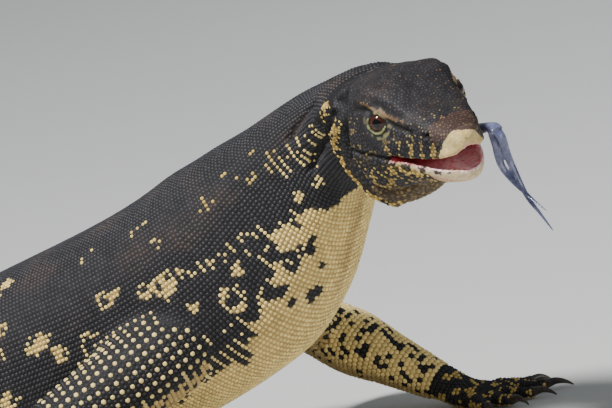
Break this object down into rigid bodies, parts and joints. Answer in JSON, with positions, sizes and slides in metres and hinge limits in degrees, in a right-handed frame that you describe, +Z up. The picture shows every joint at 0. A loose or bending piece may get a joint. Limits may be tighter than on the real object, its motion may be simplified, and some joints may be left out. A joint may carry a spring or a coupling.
{
  "type": "water monitor lizard",
  "caption": "Life-size standing water monitor lizard with raised forequarters, head turned to its right, mouth parted, forked tongue out and long tail on the floor.",
  "frame": {"origin": "under the middle of the whole model's box, on the floor", "axes": "+X the way the trunk faces, +Y the animal's left, +Z up"},
  "size_m": [1.513, 0.5244, 0.2065],
  "materials": {
    "hide": "black beaded scales with cream and yellow spots, a low sheen",
    "eye": "wet and glossy, dark brown iris and round black pupil",
    "tongue": "wet, blue-grey to violet"
  },
  "bodies": {
    "root": {"tail_tip": "hide", "tail_middle": "hide", "tail_base": "hide", "torso_rear": "hide", "torso_front": "hide", "neck": "hide", "head": "hide", "lower_jaw": "hide", "eye_left": "eye", "eye_right": "eye", "tongue": "tongue", "upper_arm_left": "hide", "forearm_left": "hide", "hand_left": "hide", "upper_arm_right": "hide", "forearm_right": "hide", "hand_right": "hide", "thigh_left": "hide", "shank_left": "hide", "foot_left": "hide", "thigh_right": "hide", "shank_right": "hide", "foot_right": "hide"}
  },
  "joints": []
}
